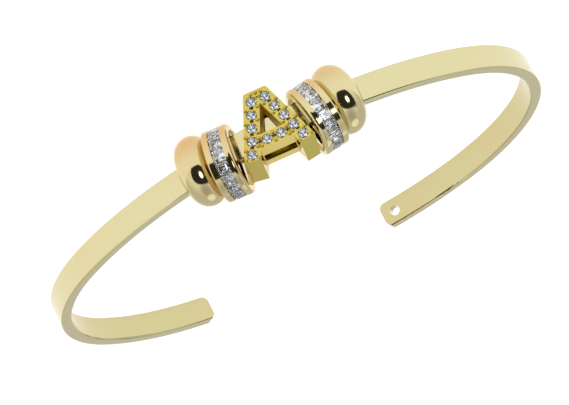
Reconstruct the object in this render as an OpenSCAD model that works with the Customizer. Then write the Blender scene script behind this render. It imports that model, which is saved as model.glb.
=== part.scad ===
// Open bangle with five charms threaded on its front: a pave-set letter A
// between two rings of square stones and two plain stopper beads.
// Millimetres. The bangle lies on its side: +Z is up, the charms face -Y,
// the gap in the band faces +Y, and +X is to the right of a viewer in front.
// The floor is z = 0 and the origin lies under the middle of the whole piece.

/* [Band] */
// Height of the flat band, across its polished face
band_w = 3.1; // [2.8:0.1:3.2]
// Thickness of the band
band_t = 1.36; // [1.2:0.02:1.4]
// Rounding of the band's long edges
band_edge_r = 0.22; // [0.1:0.02:0.4]
// Radius of the front stretch, on the middle of the band's thickness
front_r = 33.65; // [32:0.05:36]
// Turn from the front's middle to where the left side starts
front_end_left = 44.8; // [40:0.1:48]
// Turn from the front's middle to where the right side starts
front_end_right = 46.1; // [40:0.1:48]
// Radius of the left side
side_r_left = 22.1; // [20:0.1:24]
// Turn at which the left side ends
side_end_left = 149.2; // [140:0.1:155]
// Radius of the right side
side_r_right = 22; // [20:0.1:24]
// Turn at which the right side ends
side_end_right = 118; // [110:0.1:130]
// Radius of the last stretch on the left
tail_r_left = 28; // [26:0.1:30]
// Turn at the left tip
tip_turn_left = 173.5; // [168:0.1:175]
// Radius of the last stretch on the right
tail_r_right = 28.6; // [26:0.1:30]
// Turn at the right tip
tip_turn_right = 153; // [148:0.1:156]
// Rounding of the four tip corners
tip_corner_r = 0.9; // [0.5:0.05:1.2]
// Radius of the hole through the left tip
tip_hole_r = 0.62; // [0.5:0.01:0.8]
// Distance from the left tip to the hole's centre, along the band
tip_hole_inset = 1.65; // [1.4:0.05:2.5]

/* [Where the charms sit] */
// Turn of the letter from the front's middle, towards the left
letter_turn = 1.2; // [1.17:0.01:1.22]
// Turn of the left stone ring from the front's middle
ring_turn_left = 9.8; // [9.78:0.01:9.84]
// Turn of the right stone ring from the front's middle
ring_turn_right = 8.76; // [8.72:0.01:8.8]
// Turn of the left stopper bead from the front's middle
bead_turn_left = 15.08; // [15.04:0.01:15.2]
// Turn of the right stopper bead from the front's middle
bead_turn_right = 14.18; // [14.14:0.01:14.3]
// Lean of the left stone ring on the band, its top towards the letter
ring_lean_left = 9.2; // [8.8:0.1:9.3]
// Lean of the right stone ring on the band, its top towards the letter
ring_lean_right = 7.8; // [7.6:0.1:8]
// Lean of the stopper beads on the band, both tops towards the letter
bead_lean = 5.6; // [5.4:0.1:6]
// Twist of each bead on the band, its front towards the ring
bead_twist = 3; // [2.5:0.1:3.2]
// How far the loose stone rings hang off the band's middle, towards +Z
ring_drop = 0.85; // [0.75:0.05:0.85]

/* [Stopper beads] */
// Largest radius of a bead
bead_r = 4.13; // [4.05:0.01:4.16]
// Radius of the bead's outer curve
bead_rim_r = 1.95; // [1.85:0.05:2]
// Radius of the bead's two flanks
bead_flank_r = 3; // [3:0.05:3.2]
// Turn of the curve where the outer curve meets a flank
bead_flank_turn = 66; // [62:1:68]
// Height of the slot in a bead
bead_slot_h = 3.78; // [3.76:0.01:3.9]

/* [Stone rings] */
// Outer radius of a ring
ring_r = 4.15; // [4.1:0.01:4.18]
// Width of a ring
ring_w = 3; // [2.94:0.02:3]
// Rounding of the ring's outer corner on the side of the letter
ring_corner_r = 0.45; // [0.4:0.05:0.55]
// Rounding of the ring's outer corner on the side of the bead
ring_edge_r = 0.2; // [0.15:0.05:0.3]
// Radius of the hollow in the end of a ring that faces the letter
ring_hollow_r = 3.3; // [3:0.05:3.35]
// Depth of that hollow
ring_hollow_h = 0.3; // [0.3:0.05:0.5]
// Height of the slot in a ring
ring_slot_h = 5.5; // [5.48:0.01:5.56]
// Radius of the floor of the channel that holds the stones
channel_floor_r = 3.1; // [3.05:0.05:3.15]
// Width of the channel that holds the stones
channel_w = 1.46; // [1.44:0.01:1.6]
// Number of square stones in a ring
ring_stones = 16; // [14:1:16]
// Side of a square stone
square_stone = 1.38; // [1.2:0.02:1.38]
// Radius at which the flat tops of the square stones lie
square_top_r = 4.07; // [3.95:0.01:4.1]

/* [Letter] */
// How far the letter's face leans back, turned about the band
letter_rock = 8; // [7:0.1:8.2]
// How far the letter leans in the plane of its face
letter_lean = 3.6; // [3.2:0.1:3.8]
// Height from the foot's outer corner up to the flat top of the letter
letter_h = 7.74; // [7.6:0.02:7.8]
// Distance from the band's middle to the flat top
letter_top = 4.11; // [4.07:0.01:4.15]
// Width of the flat top
letter_top_w = 2.67; // [2.6:0.01:2.7]
// Rounding of the two corners of the flat top
top_corner_r = 0.3; // [0.1:0.05:0.4]
// Width over the outer corners of the feet
letter_foot_w = 8.36; // [8.2:0.02:8.4]
// Width of a leg, measured level
leg_w = 1.94; // [1.85:0.01:1.95]
// Length of the cut across a foot
foot_cut = 1.88; // [1.8:0.02:1.94]
// Slope of the cut across a foot
foot_slope = 9.4; // [8:0.1:10]
// Distance from the band's middle to the letter's face
face_out = 2.6; // [2.4:0.02:2.8]
// Distance from the band's middle to the back of the legs
leg_back = 2.57; // [2.2:0.01:2.6]
// Upper side of the crossbar, below the band's middle
bar_from = 1.15; // [1.1:0.05:1.2]
// Lower side of the crossbar, below the band's middle
bar_to = 2.87; // [2.85:0.01:2.95]
// Slant of the two walls of the opening above the crossbar
counter_slant = 8; // [0:1:12]
// Slant of the letter's left side, drawn in towards the back where the ring comes close
left_side_slant = 3; // [2.6:0.1:4]
// Height of the tunnel for the band
tunnel_h = 3.9; // [3.8:0.02:4]
// Depth of the tunnel in front of the band's middle
tunnel_front = 1.05; // [1.02:0.01:1.1]
// Depth of the tunnel behind the band's middle
tunnel_back = 1.25; // [1.2:0.01:1.3]
// Thickness of the plate behind the tunnel
back_plate = 0.35; // [0.3:0.05:0.6]
// Length of the slot under the crossbar
slot_len = 3.8; // [3.4:0.1:3.8]
// Front edge of that slot, from the band's middle
slot_front = 0.88; // [0.7:0.02:0.94]
// Back edge of that slot, from the band's middle
slot_back = 0.5; // [0.4:0.05:0.7]

/* [Letter stones] */
// Diameter of a round stone
round_stone = 1.16; // [1:0.02:1.16]
// Distance from the letter's flat top to the first stones
first_stone = 1.21; // [1.19:0.01:1.21]
// Spacing of the stones down a leg, measured upright
stone_pitch = 1.5; // [1.49:0.01:1.5]
// Distance from the crossbar's middle to each of its stones
bar_stone_x = 0.84; // [0.82:0.01:0.88]
// Radius of the small gripping grains
grain_r = 0.25; // [0.2:0.01:0.25]
// Width of the groove cut along each row of stones
groove_w = 0.46; // [0.3:0.02:0.46]
// Depth of that groove
groove_h = 0.35; // [0.2:0.05:0.4]

/* [How it rests] */
// Tilt that the letter's top and the beads give the band
rest_pitch = 3.36; // [0:0.01:5]
// Sideways tilt
rest_roll = 0.07; // [-1:0.01:1]
// Shift of the front's middle from the origin
rest_shift = [-0.076, -22.516, 4.3731]; // three lengths, as the rest needs them

/* [Hidden] */
$fn = 96;
eps = 0.05;
band_fn = 240;
leg_rise = (letter_foot_w - letter_top_w) / 2 / letter_h;
foot_z = letter_h - letter_top;
seat_gap = 0.05;
seat_h = 0.72;
counter_top = -2.35;
stones_per_leg = 5;
fit_gap = 0.12;
nest_gap = 0.1;
stretch_lap = 0.1;
stretch_slim = 0.005;

gold = "#e0d3a2";
letter_gold = "#b5a84e";
clear = "#e8edf2";

// The whole piece as it lies on the floor
module resting()
    translate(rest_shift) rotate([-rest_pitch, rest_roll, 0]) children();

// A place on the front stretch, turned round its centre
module on_front(turn)
    translate([0, front_r, 0]) rotate([0, 0, turn]) translate([0, -front_r, 0]) children();

// Direction from an arc's centre to the band at a given turn
function out_dir(turn) = [sin(turn), -cos(turn), 0];
function side_centre(side_r, front_end) =
    [0, front_r, 0] + (front_r - side_r) * out_dir(front_end);
function tail_centre(side_r, front_end, tail_r, side_end) =
    side_centre(side_r, front_end) + (side_r - tail_r) * out_dir(side_end);

module band_profile(slim) {
    r = band_edge_r;
    square([band_t - 2 * r, band_w - 2 * slim], center = true);
    square([band_t - 2 * slim, band_w - 2 * r], center = true);
    for (x = [-1, 1], y = [-1, 1])
        translate([x * (band_t / 2 - r), y * (band_w / 2 - r)]) circle(r - slim, $fn = 32);
}

// A stretch of the band. A later stretch is a hair slimmer and starts inside the one before
module band_arc(centre, radius, from, to, stretch = 0) {
    start = from - (stretch > 0 ? stretch_lap : 0);
    translate(centre) rotate([0, 0, start - 90])
        rotate_extrude(angle = to - start, $fn = band_fn)
            translate([radius, 0]) band_profile(stretch * stretch_slim);
}

// One side of the band from the front to its tip, drawn towards +X
module band_half(front_end, side_r, side_end, tail_r, tip_turn) {
    tail = tail_centre(side_r, front_end, tail_r, side_end);
    difference() {
        union() {
            band_arc(side_centre(side_r, front_end), side_r, front_end, side_end, 1);
            band_arc(tail, tail_r, side_end, tip_turn, 2);
        }
        for (side = [-1, 1])
            translate(tail + tail_r * out_dir(tip_turn)) rotate([90, 0, tip_turn])
                linear_extrude(2 * band_t, center = true)
                    difference() {
                        c = band_w / 2 - tip_corner_r;
                        translate([-tip_corner_r, side > 0 ? c : -band_w / 2 - eps])
                            square([tip_corner_r + eps, tip_corner_r + eps]);
                        translate([-tip_corner_r, side * c]) circle(tip_corner_r);
                    }
    }
}

module band() color(gold) resting()
    difference() {
        union() {
            band_arc([0, front_r, 0], front_r, -front_end_left, front_end_right);
            band_half(front_end_right, side_r_right, side_end_right, tail_r_right, tip_turn_right);
            mirror([1, 0, 0])
                band_half(front_end_left, side_r_left, side_end_left, tail_r_left, tip_turn_left);
        }
        mirror([1, 0, 0]) tip_hole();
    }

module tip_hole() {
    turn = tip_turn_left - tip_hole_inset / tail_r_left * 180 / PI;
    tail = tail_centre(side_r_left, front_end_left, tail_r_left, side_end_left);
    translate(tail + tail_r_left * out_dir(turn)) rotate([90, 0, turn])
        cylinder(h = 3 * band_t, r = tip_hole_r, center = true);
}

// Half outline of a bead: an outer curve that runs smoothly into two flatter flanks
// Half outline of a bead, drawn larger all round by grow
module bead_profile(grow) {
    rim_x = bead_r - bead_rim_r;
    join_x = rim_x + (bead_rim_r + grow) * cos(bead_flank_turn);
    step = bead_flank_r - bead_rim_r;
    flank_x = rim_x - step * cos(bead_flank_turn);
    flank_y = step * sin(bead_flank_turn);
    intersection() {
        translate([join_x, -bead_r]) square([bead_r, 2 * bead_r]);
        translate([rim_x, 0]) circle(bead_rim_r + grow);
    }
    intersection() {
        translate([0, -bead_r]) square([join_x, 2 * bead_r]);
        translate([flank_x, flank_y]) circle(bead_flank_r + grow, $fn = 180);
        translate([flank_x, -flank_y]) circle(bead_flank_r + grow, $fn = 180);
    }
}
module bead_place(side)
    on_front(side < 0 ? -bead_turn_left : bead_turn_right)
        rotate([0, side * bead_lean, 0]) children();
module bead_body(side, grow)
    rotate([0, 90, -side * bead_twist]) rotate_extrude() bead_profile(grow);

module stopper_bead(side) color(gold) resting() bead_place(side)
    difference() {
        bead_body(side, 0);
        // slot that grips the band
        cube([2 * bead_r, band_t + 2 * fit_gap, bead_slot_h], center = true);
    }

// Half outline of a ring; its end on the +y side is the one that faces the bead
module ring_profile()
    difference() {
        union() {
            half_ring_profile(ring_edge_r);
            mirror([0, 1]) half_ring_profile(ring_corner_r);
        }
        translate([channel_floor_r, -channel_w / 2]) square([ring_r, channel_w]);
        translate([-eps, -ring_w / 2 - eps]) square([ring_hollow_r + eps, ring_hollow_h + eps]);
    }
module half_ring_profile(r) {
    square([ring_r - r, ring_w / 2]);
    square([ring_r, ring_w / 2 - r]);
    translate([ring_r - r, ring_w / 2 - r]) circle(r, $fn = 48);
}
module ring_place(side)
    on_front(side < 0 ? -ring_turn_left : ring_turn_right) translate([0, 0, ring_drop])
        rotate([0, side < 0 ? -ring_lean_left : ring_lean_right, 0]) children();

module stone_ring(side) color(gold) resting()
    difference() {
        ring_place(side) rotate([0, side * 90, 0]) rotate_extrude() ring_profile();
        // slot for the band, too narrow for the ring to turn on it
        ring_place(side) cube([ring_w + 2 * eps, band_t + 0.34, ring_slot_h], center = true);
        // dish that the bead nests in
        bead_place(side) bead_body(side, nest_gap);
    }

// Square-cut stone, its flat top up, z = 0 at its widest
module square_cut(s) {
    d = s / sqrt(2);
    rotate([0, 0, 45]) {
        translate([0, 0, 0.12]) cylinder(h = 0.08, r1 = 0.84 * d, r2 = 0.62 * d, $fn = 4);
        cylinder(h = 0.12, r1 = d, r2 = 0.84 * d, $fn = 4);
        translate([0, 0, -0.06]) cylinder(h = 0.06, r = d, $fn = 4);
        translate([0, 0, -0.28]) cylinder(h = 0.22, r1 = 0.72 * d, r2 = d, $fn = 4);
        translate([0, 0, -0.6]) cylinder(h = 0.32, r1 = 0.08 * d, r2 = 0.72 * d, $fn = 4);
    }
}

module ring_stone_row(side) color(clear) resting() ring_place(side)
    for (i = [0 : ring_stones - 1])
        rotate([i * 360 / ring_stones - 90, 0, 0])
            translate([0, 0, square_top_r - 0.2]) square_cut(square_stone);

// Sixteen-sided block or cone: two eight-sided ones that share one middle
module sixteen_sided(h, from, to, turned_to)
    intersection_for (a = [0, 22.5])
        rotate([0, 0, a]) cylinder(h = h, r1 = from, r2 = a == 0 ? to : turned_to, $fn = 8);

// Round-cut stone, its flat top up, z = 0 at its widest
module round_cut(d) {
    r = d / 2 * cos(11.25) / cos(22.5);
    sixteen_sided(0.15 * d, r, 0.3 * d, 0.33 * d);
    translate([0, 0, -0.05]) sixteen_sided(0.05, r, r, r);
    translate([0, 0, -0.05 - 0.43 * d]) sixteen_sided(0.43 * d, 0.03 * d, r, r);
}

// The letter's own frame: x across, y inwards from its face, z from top to feet
module letter_place()
    on_front(-letter_turn) rotate([letter_rock, 0, 0])
        rotate([0, letter_lean, 0]) children();

function half_w(z) = letter_top_w / 2 + leg_rise * (z + letter_top);
function foot_in() =
    [letter_foot_w / 2 - foot_cut * cos(foot_slope), foot_z + foot_cut * sin(foot_slope)];

// The rounded corner at the right end of the flat top
function top_corner() =
    let (lean = atan(leg_rise), sweep = 90 - lean, r = top_corner_r)
    [for (i = [0 : 4])
        [letter_top_w / 2 - r * tan(sweep / 2) + r * cos(i * sweep / 4 - 90),
         r - letter_top + r * sin(i * sweep / 4 - 90)]];

// Outline of the letter down to its feet, with the notch below the crossbar
module letter_outline(bar_bottom) {
    right = concat(top_corner(), [
        [letter_foot_w / 2, foot_z],
        foot_in(),
        [half_w(bar_bottom) - leg_w, bar_bottom]]);
    polygon(concat(right, [for (i = [len(right) - 1 : -1 : 0]) [-right[i].x, right[i].y]]));
}

// Block whose right face is the right wall of the opening above the crossbar
module counter_wall()
    translate([half_w(bar_from) - leg_w, -face_out, bar_from])
        rotate([0, atan(leg_rise), 0]) rotate([0, 0, counter_slant])
            translate([-letter_foot_w, -1, -letter_h]) cube([letter_foot_w, 5, letter_h + 2]);

// The triangle between the legs and above the crossbar, narrower behind than in front
module counter()
    intersection() {
        counter_wall();
        mirror([1, 0, 0]) counter_wall();
        translate([-letter_foot_w / 2, -face_out - 1, counter_top])
            cube([letter_foot_w, face_out + 1, bar_from - counter_top]);
    }

// Turns an outline drawn in x and z into a slab between two distances from the band's middle
module slab(back, front)
    translate([0, -back, 0]) rotate([90, 0, 0]) linear_extrude(front - back) children();

// Middle of each stone: leg stones from the top down, then the two on the crossbar
leg_stone_z = [for (i = [0 : stones_per_leg - 1]) -letter_top + first_stone + i * stone_pitch];
bar_stone_z = (bar_from + bar_to) / 2;
function leg_mid(z) = half_w(z) - leg_w / 2;
LETTER_STONES = concat(
    [for (z = leg_stone_z) [-leg_mid(z), z]],
    [for (z = leg_stone_z) [leg_mid(z), z]],
    [[-bar_stone_x, bar_stone_z], [bar_stone_x, bar_stone_z]]);

// Grains on both edges of a leg between its stones, at its foot, along the flat top,
// and round the crossbar's stones
function leg_grain(z, edge) = [leg_mid(z) + edge, z];
RIGHT_GRAINS = concat(
    [for (i = [1 : stones_per_leg - 1], edge = [-0.68, 0.74])
        leg_grain(leg_stone_z[i] - stone_pitch / 2, edge)],
    [leg_grain(foot_z - 0.21, 0.74), leg_grain(foot_z + 0.07, -0.82),
     [0.58, 0.34 - letter_top], [0, 0.3 - letter_top], [0, 0.8 - letter_top],
     [0, bar_stone_z - 0.5], [0, bar_stone_z + 0.5],
     [1.62, bar_stone_z - 0.5], [1.62, bar_stone_z + 0.48]]);
GRAINS = concat(RIGHT_GRAINS, [for (g = RIGHT_GRAINS) if (g.x > 0) [-g.x, g.y]]);

// Shallow groove in the face from one place to another, both given as x and z
module groove(from, to) {
    g = groove_w / 2;
    slab(face_out - groove_h, face_out + 1)
        polygon(abs(to.y - from.y) > 1
            ? [from - [g, 0], from + [g, 0], to + [g, 0], to - [g, 0]]
            : [from - [0, g], to - [0, g], to + [0, g], from + [0, g]]);
}

// What the slant takes off the letter's left side
module left_side_cut()
    mirror([1, 0, 0]) translate([half_w(0), -face_out, 0])
        rotate([0, atan(leg_rise), 0]) rotate([0, 0, left_side_slant])
            translate([0, 0, -letter_h]) cube([1, 2 * leg_back + face_out, 2 * letter_h]);

module letter() color(letter_gold) resting() letter_place()
    difference() {
        union() {
            slab(-tunnel_back - back_plate, face_out) letter_outline(bar_to);
            slab(-leg_back, -tunnel_back - back_plate + eps) letter_outline(counter_top + eps);
            for (g = GRAINS)
                translate([g.x, -face_out + 0.03, g.y]) sphere(grain_r, $fn = 24);
        }
        counter();
        left_side_cut();
        translate([-letter_foot_w, -tunnel_front, -tunnel_h / 2])
            cube([2 * letter_foot_w, tunnel_front + tunnel_back, tunnel_h]);
        translate([-slot_len / 2, -slot_front, 0])
            cube([slot_len, slot_front + slot_back, bar_to + 1]);
        for (s = LETTER_STONES)
            translate([s.x, -face_out - 1, s.y]) rotate([-90, 0, 0])
                cylinder(h = 1 + seat_h, r = round_stone / 2 + seat_gap, $fn = 48);
        groove(LETTER_STONES[0], LETTER_STONES[stones_per_leg - 1]);
        groove(LETTER_STONES[stones_per_leg], LETTER_STONES[2 * stones_per_leg - 1]);
        groove([-leg_mid(bar_stone_z), bar_stone_z], [leg_mid(bar_stone_z), bar_stone_z]);
    }

module letter_stone(i) color(clear) resting() letter_place()
    translate([LETTER_STONES[i - 1].x, -face_out, LETTER_STONES[i - 1].y])
        rotate([90, 0, 0]) round_cut(round_stone);

band();
stopper_bead(-1);  // stopper_bead_left
stopper_bead(1);  // stopper_bead_right
stone_ring(-1);  // stone_ring_left
stone_ring(1);  // stone_ring_right
ring_stone_row(-1);  // ring_stones_left
ring_stone_row(1);  // ring_stones_right
letter();
letter_stone(1);  // letter_stone_1
letter_stone(2);  // letter_stone_2
letter_stone(3);  // letter_stone_3
letter_stone(4);  // letter_stone_4
letter_stone(5);  // letter_stone_5
letter_stone(6);  // letter_stone_6
letter_stone(7);  // letter_stone_7
letter_stone(8);  // letter_stone_8
letter_stone(9);  // letter_stone_9
letter_stone(10);  // letter_stone_10
letter_stone(11);  // letter_stone_11
letter_stone(12);  // letter_stone_12
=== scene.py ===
# %% [markdown]
# # A bangle with five slider charms
#
# The object is an open bangle: one strip of pale gold-plated metal, bent to an oval, with five charms
# threaded on its front. An openwork letter A set with small clear stones sits in the middle, a ring of
# square stones stands on each side of it, and a plain bead at each end holds the row together.
#
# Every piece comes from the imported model, in metres, lying on the floor at z = 0. Jewellery is hard all
# over, so the solids already have its true shape and nothing is added to them here. This script gives
# the pieces their finishes, sets up the studio, and places the camera.

# %% Load the frame
import math

import bpy
from mathutils import Matrix, Vector

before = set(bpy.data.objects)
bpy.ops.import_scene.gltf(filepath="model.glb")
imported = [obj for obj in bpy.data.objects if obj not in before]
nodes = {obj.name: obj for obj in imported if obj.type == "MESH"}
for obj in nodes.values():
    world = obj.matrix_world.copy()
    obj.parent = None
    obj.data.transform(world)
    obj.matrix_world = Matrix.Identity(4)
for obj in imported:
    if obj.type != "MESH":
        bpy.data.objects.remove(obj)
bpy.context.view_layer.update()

MM = 0.001

print("pieces in the frame:", len(nodes))

# %% [markdown]
# ## Where the camera stands
#
# The photograph was taken from a little above the plane of the band, with a long lens, and is turned
# in the frame so that the charms run up to the right. The camera was worked out in the band's own
# frame: the front's middle is its origin, the band's plane is level and the charms face -Y. Here the
# bangle has been laid on its side, so it tilts a few degrees, and the camera is tilted with it. An
# orbit of four values (azimuth, elevation, distance and roll) could be typed in as a location and a
# rotation, but kept apart they say what each one does.

# %% Camera
IMAGE_WIDTH_PX = 569
SENSOR_WIDTH_MM = 36.0

REST_PITCH = 3.36
REST_ROLL = 0.07
REST_SHIFT = Vector((-0.076, -22.516, 4.3731)) * MM

CAMERA_AZIMUTH = 0.20
CAMERA_ELEVATION = 17.98
CAMERA_ROLL = 152.38
CAMERA_DISTANCE = 459.73 * MM
CAMERA_TARGET = Vector((1.632, 24.658, 0)) * MM
FOCAL_LENGTH_PX = 3984.2


def turn(degrees, axis):
    return Matrix.Rotation(math.radians(degrees), 4, axis)


lying_down = Matrix.Translation(REST_SHIFT) @ turn(REST_ROLL, "Y") @ turn(-REST_PITCH, "X")
orbit = turn(CAMERA_AZIMUTH, "Z") @ turn(90 - CAMERA_ELEVATION, "X")
stand_off = Matrix.Translation((0, 0, CAMERA_DISTANCE))
photo_camera = lying_down @ Matrix.Translation(CAMERA_TARGET) @ orbit @ stand_off @ turn(CAMERA_ROLL, "Z")

lens = bpy.data.cameras.new("long_lens")
lens.sensor_width = SENSOR_WIDTH_MM
lens.lens = FOCAL_LENGTH_PX * SENSOR_WIDTH_MM / IMAGE_WIDTH_PX
lens.clip_start = 0.01
lens.clip_end = 20
camera = bpy.data.objects.new("camera", lens)
camera.matrix_world = photo_camera
bpy.context.scene.collection.objects.link(camera)
bpy.context.scene.camera = camera
print("camera at", [round(c, 3) for c in camera.location], "lens", round(lens.lens, 1), "mm")

# %% [markdown]
# ## Colours and shader nodes
#
# A picture shows sRGB values, and Blender works in linear light. So colours are written as the hex
# values that the eye sees, and one function turns them to linear. A second function adds a shader node,
# gives it its settings and joins its inputs to what comes before: settings and links then stand
# together, and a material reads from top to bottom as its own recipe.

# %% Colours
def linear(hex_colour):
    channels = [int(hex_colour[i : i + 2], 16) / 255 for i in (1, 3, 5)]
    return [c / 12.92 if c <= 0.04045 else ((c + 0.055) / 1.055) ** 2.4 for c in channels] + [1.0]


print("half-bright #808080 is", round(linear("#808080")[0], 3), "in linear light")


# %% Nodes
def add(tree, kind, settings=None, links=None):
    node = tree.nodes.new(kind)
    for name, value in (settings or {}).items():
        if isinstance(name, str) and hasattr(node, name):
            setattr(node, name, value)
        else:
            node.inputs[name].default_value = value
    for name, source in (links or {}).items():
        tree.links.new(source, node.inputs[name])
    return node


def new_material(name):
    material = bpy.data.materials.new(name)
    material.use_nodes = True
    material.node_tree.nodes.clear()
    return material, material.node_tree


def finish_material(tree, shader):
    add(tree, "ShaderNodeOutputMaterial", None, {"Surface": shader})


print("ready to add nodes")

# %% [markdown]
# ## Gold plate: its colour
#
# The band, beads and rings are brass or silver with a skin of pale 14 karat gold. A plating bath lays
# down a little more copper in one place than in another, so the plate is never quite one colour. An
# image could hold such a drift, but it would need an unwrapped surface; slow noise in the object's own
# space goes round every edge by itself. Faces that point towards the floor are also drawn rosier, as the
# undersides of the charms look: that part is a painted warm reflection, not a change in the plate.

# %% Two golds mixed, and a painted warm reflection on faces that point down
COLOUR_DRIFT_MM = 9.0
DRIFT_STARTS = 0.45
DRIFT_FULL = 0.75
DRIFT_SHARE = 0.35
PAINTED_WARM_REFLECTION_STARTS = -0.05
PAINTED_WARM_REFLECTION_FULL = -0.8
# The Mix node keeps one set of sockets for numbers and one for colours under the same names, so its
# colour sockets are found by their numbers
COLOUR_1, COLOUR_2, MIXED_COLOUR = 6, 7, 2


def gold_drift_and_painted_reflection(tree, colour, copper_rose_and_painted_reflection, place):
    facing = add(tree, "ShaderNodeNewGeometry")
    height = add(tree, "ShaderNodeSeparateXYZ", None, {"Vector": facing.outputs["Normal"]})
    # Faces that point down are pulled towards the rose colour: a painted warm reflection, not a change in
    # the plate
    painted_warm_reflection_down = add(
        tree,
        "ShaderNodeMapRange",
        {"From Min": PAINTED_WARM_REFLECTION_STARTS, "From Max": PAINTED_WARM_REFLECTION_FULL},
        {"Value": height.outputs["Z"]},
    )
    drift = add(
        tree,
        "ShaderNodeTexNoise",
        {"Scale": 1 / (COLOUR_DRIFT_MM * MM), "Detail": 1.0, "Roughness": 0.4},
        {"Vector": place},
    )
    patches = add(
        tree,
        "ShaderNodeMapRange",
        {"From Min": DRIFT_STARTS, "From Max": DRIFT_FULL, "To Max": DRIFT_SHARE},
        {"Value": drift.outputs["Fac"]},
    )
    share = add(
        tree,
        "ShaderNodeMath",
        {"operation": "ADD", "use_clamp": True},
        {0: painted_warm_reflection_down.outputs["Result"], 1: patches.outputs["Result"]},
    )
    mixed = add(
        tree,
        "ShaderNodeMix",
        {"data_type": "RGBA", COLOUR_1: linear(colour), COLOUR_2: linear(copper_rose_and_painted_reflection)},
        {0: share.outputs["Value"]},
    )
    return mixed.outputs[MIXED_COLOUR]


print("the gold drifts over", COLOUR_DRIFT_MM, "mm")

# %% [markdown]
# ## Gold plate: its surface
#
# Polished plate has almost no texture of its own: the eye reads it by what it mirrors. Tumbling leaves
# a very faint unevenness, which keeps it from looking like a perfect mirror. Carving it in the mesh
# would cost many faces, so it is fine noise in a weak bump. The real marks are under a tenth of a
# millimetre, too fine to show here, and are drawn coarser so that the reflections waver.

# %% Plated metal
TUMBLE_MARK_MM = 1.6
MARK_DEPTH_MM = 0.02


def plated_metal(name, colour, copper_rose_and_painted_reflection, roughness, unevenness):
    material, tree = new_material(name)
    place = add(tree, "ShaderNodeTexCoord").outputs["Object"]
    marks = add(
        tree,
        "ShaderNodeTexNoise",
        {"Scale": 1 / (TUMBLE_MARK_MM * MM), "Detail": 2.0, "Roughness": 0.5},
        {"Vector": place},
    )
    bump = add(
        tree,
        "ShaderNodeBump",
        {"Strength": unevenness, "Distance": MARK_DEPTH_MM * MM},
        {"Height": marks.outputs["Fac"]},
    )
    metal = add(
        tree,
        "ShaderNodeBsdfPrincipled",
        {"Metallic": 1.0, "Roughness": roughness},
        {"Base Color": gold_drift_and_painted_reflection(tree, colour, copper_rose_and_painted_reflection, place), "Normal": bump.outputs["Normal"]},
    )
    finish_material(tree, metal.outputs["BSDF"])
    print(name, colour, "to", copper_rose_and_painted_reflection, "roughness", roughness)
    return material


# %% The five gold finishes
# In each pair of colours the second is the copper drift, and on faces that point down a painted warm
# reflection
# Rolled strip, polished flat before it was bent: long, soft, even reflections
strip_gold = plated_metal("pale_14k_gold_plate_on_rolled_strip", "#d8d0a1", "#dfc698", 0.12, 0.15)
# The same strip where it rubs on the wrist: a little deeper and more blurred
inner_gold = plated_metal("pale_14k_gold_plate_worn_inside", "#cdc492", "#d3bb88", 0.15, 0.15)
# Turned beads and rings, polished on a mop: small hard highlights and clear dark spots
charm_gold = plated_metal("pale_14k_gold_plate_mop_polished", "#dacf9f", "#dbb57c", 0.09, 0.12)
# Cast letter, polished by hand between the stones: yellower, its reflections slightly broken
letter_gold = plated_metal("yellow_14k_gold_plate_cast_and_polished", "#d2c160", "#cfae4c", 0.17, 0.25)
# The letter where no mop reaches, left as it came from the mould: bright and blurred, with no mirror; the
# brightness is partly the rough finish and partly painted light in its paler colour
satin_gold_painted_brighter = plated_metal("yellow_14k_gold_plate_as_cast_satin_painted_brighter", "#f3e08a", "#efc45c", 0.42, 0.35)

# %% [markdown]
# ## Clear stones
#
# The stones are cut cubic zirconia: clear, with an index of refraction of about 2.15, so they bend
# light far more than glass does and send most of it back out of the top. That is what makes them
# look bright and dark at once. White paint with a shiny coat would look like enamel, so this is a
# clear shader on the real facets. The real cut has more and smaller facets, each sending back another
# part of the room; a slight bluish colour that changes within a stone is painted reflection standing in
# for them.

# %% Stone finish
ZIRCONIA_IOR = 2.15
PAINTED_FACET_REFLECTION_PATCH_MM = 0.9
PAINTED_FACET_REFLECTION_STARTS = 0.4
PAINTED_FACET_REFLECTION_FULL = 0.65


def cut_zirconia(name, clear, painted_reflection_blue):
    material, tree = new_material(name)
    place = add(tree, "ShaderNodeTexCoord").outputs["Object"]
    # Noise mixes a bluish colour into the clear one: painted reflections of the room, standing in for the
    # smaller facets of the real cut
    painted_facet_reflection = add(
        tree,
        "ShaderNodeTexNoise",
        {"Scale": 1 / (PAINTED_FACET_REFLECTION_PATCH_MM * MM), "Detail": 1.0},
        {"Vector": place},
    )
    share = add(
        tree,
        "ShaderNodeMapRange",
        {"From Min": PAINTED_FACET_REFLECTION_STARTS, "From Max": PAINTED_FACET_REFLECTION_FULL},
        {"Value": painted_facet_reflection.outputs["Fac"]},
    )
    clear_and_painted_reflection = add(
        tree,
        "ShaderNodeMix",
        {"data_type": "RGBA", COLOUR_1: linear(clear), COLOUR_2: linear(painted_reflection_blue)},
        {0: share.outputs["Result"]},
    )
    stone = add(
        tree,
        "ShaderNodeBsdfPrincipled",
        {"Metallic": 0.0, "Roughness": 0.0, "IOR": ZIRCONIA_IOR, "Transmission Weight": 1.0},
        {"Base Color": clear_and_painted_reflection.outputs[MIXED_COLOUR]},
    )
    finish_material(tree, stone.outputs["BSDF"])
    return material


# Flat facets polished on a wheel: sharp flashes of white beside dark
zirconia = cut_zirconia("cubic_zirconia_cut_and_polished", "#f6f9ff", "#d3dff2")
print("stones bend light with an index of", ZIRCONIA_IOR)

# %% [markdown]
# ## Where one piece has two finishes
#
# Two pieces take a second finish on some of their faces: the band on the side that lies on the wrist,
# and the letter under its crossbar and on the walls of its opening, which a mop can't reach. Painting
# a mask would do, but each of these finishes ends at a sharp edge, so the way a face points is enough
# to tell it. The letter leans on the strip, so its faces are first turned back upright.

# %% Choose faces
SECOND_FINISH, FIRST_FINISH = 1, 0
FACES_INWARDS = -0.5

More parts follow.
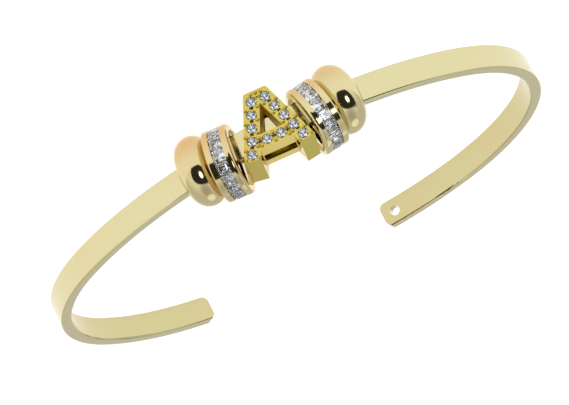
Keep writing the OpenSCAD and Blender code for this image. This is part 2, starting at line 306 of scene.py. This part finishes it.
LETTER_TURN = 1.2
LETTER_ROCK = 8
LETTER_LEAN = 3.6
STRAIGHT_UP = 0.995
MOSTLY = 0.5
OPENING_TO_Z = 0.5 * MM
OPENING_TO_Y = 1.2 * MM

leaning = lying_down @ turn(-LETTER_TURN, "Z") @ turn(LETTER_ROCK, "X") @ turn(LETTER_LEAN, "Y")
upright = leaning.to_3x3().inverted()
letter_points = [vertex.co for vertex in nodes["letter"].data.vertices]
letter_middle = sum(letter_points, Vector()) / len(letter_points)


def on_the_wrist(face):
    outwards = Vector((face.center.x, face.center.y, 0)).normalized()
    return face.normal.dot(outwards) < FACES_INWARDS


# Faces that take the satin finish, which is also painted paler than the polished letter: painted light
# under the bar and on the opening's walls
def as_cast_and_painted_bright(face):
    points = upright @ face.normal
    place = upright @ (face.center - letter_middle)
    under_the_bar = points.z > STRAIGHT_UP
    sideways = abs(points.x) > MOSTLY and abs(points.y) < MOSTLY and points.x * place.x < 0
    in_the_opening = sideways and place.z < OPENING_TO_Z and place.y < OPENING_TO_Y
    return under_the_bar or in_the_opening


print("middle of the letter, in mm:", [round(c / MM, 1) for c in letter_middle])

# %% [markdown]
# ## Dress the pieces
#
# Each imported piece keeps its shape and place, and only takes a finish. The metal is shaded smooth,
# which rounds the curves; its sharp edges stay sharp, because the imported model's faces are split there.
# The stones are shaded flat, because a facet is flat.

# %% Dress the pieces
two_finishes = {
    "band": (strip_gold, inner_gold, on_the_wrist),
    "letter": (letter_gold, satin_gold_painted_brighter, as_cast_and_painted_bright),
}


def dress(node, materials, smooth, takes_second=None):
    node.data.materials.clear()
    for material in materials:
        node.data.materials.append(material)
    for face in node.data.polygons:
        face.use_smooth = smooth
        face.material_index = SECOND_FINISH if takes_second and takes_second(face) else FIRST_FINISH


for name, node in nodes.items():
    if name.startswith(("letter_stone", "ring_stones")):
        dress(node, [zirconia], smooth=False)
    elif name in two_finishes:
        *materials, takes_second = two_finishes[name]
        dress(node, materials, smooth=True, takes_second=takes_second)
        second = sum(face.material_index for face in node.data.polygons)
        print(name, "has", second, "of", len(node.data.polygons), "faces in its second finish")
    else:
        dress(node, [charm_gold], smooth=True)
print("dressed", len(nodes), "pieces")

# %% [markdown]
# ## The light table
#
# Jewellery is often photographed on a light table: opal acrylic sheet with a lamp under it, which stays
# white where the object would shade it. A plain white floor under a strong lamp would turn grey beside
# the charms, so this one gives light itself. It has a matt face, so it shows no reflection.

# %% Light table
FLOOR_SIZE = 6.0
FLOOR_GLOW = 0.92
bpy.ops.mesh.primitive_plane_add(size=FLOOR_SIZE, location=(0, 0, 0))
floor = bpy.context.object
floor.name = "light_table"
# Cast sheet with a matt face: an even white with no highlight
acrylic, acrylic_tree = new_material("opal_acrylic_lit_from_below")
acrylic_shader = add(
    acrylic_tree,
    "ShaderNodeBsdfPrincipled",
    {
        "Base Color": linear("#989898"),
        "Roughness": 0.9,
        "Specular IOR Level": 0.2,
        "Emission Color": linear("#ffffff"),
        "Emission Strength": FLOOR_GLOW,
    },
)
finish_material(acrylic_tree, acrylic_shader.outputs["BSDF"])
floor.data.materials.append(acrylic)
print("light table", FLOOR_SIZE, "m wide, glow", FLOOR_GLOW)

# %% [markdown]
# ## The white tent
#
# Polished metal shows the room more than itself, so the room is most of its look. Here it is a tent of
# white cloth: brighter in front, dimmer behind and overhead. Real walls and lamps could be built, but
# they would stand in the way of a camera from behind, so the tent is painted on the world, which is
# endlessly far away. Directions are plain vectors: -Y is where the camera stands, and Z is up.

# %% Walls and roof
WALL_FRONT = 1.0
WALL_BACK = 0.68
WALL_FRONT_TO_Y = -0.5
WALL_BACK_FROM_Y = 0.4
ROOF = 0.5
ROOF_FROM_Z = 0.75

world = bpy.data.worlds.new("white_tent")
bpy.context.scene.world = world
world.use_nodes = True
sky = world.node_tree
sky.nodes.clear()

direction = add(sky, "ShaderNodeTexCoord").outputs["Generated"]
compass = add(sky, "ShaderNodeSeparateXYZ", None, {"Vector": direction})
walls = add(
    sky,
    "ShaderNodeMapRange",
    {
        "interpolation_type": "SMOOTHSTEP",
        "From Min": WALL_FRONT_TO_Y,
        "From Max": WALL_BACK_FROM_Y,
        "To Min": WALL_FRONT,
        "To Max": WALL_BACK,
    },
    {"Value": compass.outputs["Y"]},
)
roof = add(
    sky,
    "ShaderNodeMapRange",
    {
        "interpolation_type": "SMOOTHSTEP",
        "From Min": ROOF_FROM_Z,
        "From Max": 1.0,
        "To Min": WALL_FRONT,
        "To Max": ROOF,
    },
    {"Value": compass.outputs["Z"]},
)
cloth = add(
    sky,
    "ShaderNodeMath",
    {"operation": "MINIMUM"},
    {0: walls.outputs["Result"], 1: roof.outputs["Result"]},
)
print("tent walls", WALL_FRONT, "in front,", WALL_BACK, "behind, roof", ROOF)

# %% [markdown]
# ## The opening for the lens
#
# The lens looks in through a dark opening. A curved mirror makes everything small, so each bead shows
# the whole opening as one round dark spot, and the rings show it as dark bars. It is an oval in the
# front of the tent: the direction is moved to the oval's centre and scaled by its half sizes, and the
# square of what is left is under one inside it.

# %% Opening
OPENING_CENTRE = (-0.10, 0.0, 0.40)
OPENING_HALF_X = 0.76
OPENING_HALF_Z = 0.48
OPENING_SOFT_EDGE = 0.1
OPENING_LIGHT = 0.03

from_centre = add(
    sky,
    "ShaderNodeVectorMath",
    {"operation": "SUBTRACT", 1: OPENING_CENTRE},
    {0: direction},
)
in_half_sizes = add(
    sky,
    "ShaderNodeVectorMath",
    {"operation": "MULTIPLY", 1: (1 / OPENING_HALF_X, 0, 1 / OPENING_HALF_Z)},
    {0: from_centre.outputs["Vector"]},
)
squared = add(
    sky,
    "ShaderNodeVectorMath",
    {"operation": "DOT_PRODUCT"},
    {0: in_half_sizes.outputs["Vector"], 1: in_half_sizes.outputs["Vector"]},
)
past_the_edge = add(
    sky,
    "ShaderNodeMapRange",
    {
        "interpolation_type": "SMOOTHSTEP",
        "From Min": 1 - OPENING_SOFT_EDGE,
        "From Max": 1 + OPENING_SOFT_EDGE,
    },
    {"Value": squared.outputs["Value"]},
)
behind = add(
    sky,
    "ShaderNodeMath",
    {"operation": "GREATER_THAN", 1: 0.0},
    {0: compass.outputs["Y"]},
)
cloth_share = add(
    sky,
    "ShaderNodeMath",
    {"operation": "MAXIMUM"},
    {0: past_the_edge.outputs["Result"], 1: behind.outputs["Value"]},
)
cut_cloth = add(
    sky,
    "ShaderNodeMath",
    {"operation": "MULTIPLY"},
    {0: cloth.outputs["Value"], 1: cloth_share.outputs["Value"]},
)
tent = add(
    sky,
    "ShaderNodeMath",
    {"operation": "MAXIMUM", 1: OPENING_LIGHT},
    {0: cut_cloth.outputs["Value"]},
)
print("opening spans", round(2 * OPENING_HALF_X, 2), "by", round(2 * OPENING_HALF_Z, 2))

# %% [markdown]
# ## Two lamps
#
# A lamp beside the lens puts the small bright point in each dark spot, and a soft one high behind makes
# the second, weaker point near the rim of each bead. Each is a round glow on the world, bright where
# the direction is close to the lamp's. Its aim is a compass angle and a height in degrees: 0 is -Y and
# 90 is +X.

# %% Lamps
LAMP_AIM = (-22, 31)
LAMP_RADIUS_DEGREES = 10
LAMP_LIGHT = 3.2
TOP_LAMP_AIM = (185, 60)
TOP_LAMP_RADIUS_DEGREES = 16
TOP_LAMP_LIGHT = 0.45
LAMP_SOFT_EDGE = 0.15


def lamp_direction(compass_angle, height):
    a, h = math.radians(compass_angle), math.radians(height)
    return (math.sin(a) * math.cos(h), -math.cos(a) * math.cos(h), math.sin(h))


def hang_lamp(rest_of_tent, aim, radius_degrees, light):
    closeness = add(
        sky,
        "ShaderNodeVectorMath",
        {"operation": "DOT_PRODUCT", 1: lamp_direction(*aim)},
        {0: direction},
    )
    glow = add(
        sky,
        "ShaderNodeMapRange",
        {
            "interpolation_type": "SMOOTHSTEP",
            "From Min": math.cos(math.radians(radius_degrees * (1 + LAMP_SOFT_EDGE))),
            "From Max": math.cos(math.radians(radius_degrees * (1 - LAMP_SOFT_EDGE))),
            "To Max": light,
        },
        {"Value": closeness.outputs["Value"]},
    )
    return add(
        sky,
        "ShaderNodeMath",
        {"operation": "ADD"},
        {0: rest_of_tent.outputs["Value"], 1: glow.outputs["Result"]},
    )


tent = hang_lamp(tent, LAMP_AIM, LAMP_RADIUS_DEGREES, LAMP_LIGHT)
tent = hang_lamp(tent, TOP_LAMP_AIM, TOP_LAMP_RADIUS_DEGREES, TOP_LAMP_LIGHT)
background = add(
    sky,
    "ShaderNodeBackground",
    {"Color": linear("#ffffff")},
    {"Strength": tent.outputs["Value"]},
)
add(sky, "ShaderNodeOutputWorld", None, {"Surface": background.outputs["Background"]})
print("lamps at", LAMP_AIM, "and", TOP_LAMP_AIM)

# %% [markdown]
# ## How the light is followed and shown
#
# The charms stand close together and mirror each other many times over, and light turns round several
# times inside a stone before it comes out. With few bounces those places go black, so more are allowed
# here: the seams then glow deep gold, as narrow gaps between gold pieces do. The plain view transform
# shows each colour as it is, where a film-like one would make the gold greyer.

# %% Bounces and view
MIRROR_BOUNCES = 12
bpy.context.scene.cycles.glossy_bounces = MIRROR_BOUNCES
bpy.context.scene.view_settings.view_transform = "Standard"
print("mirror bounces:", MIRROR_BOUNCES)
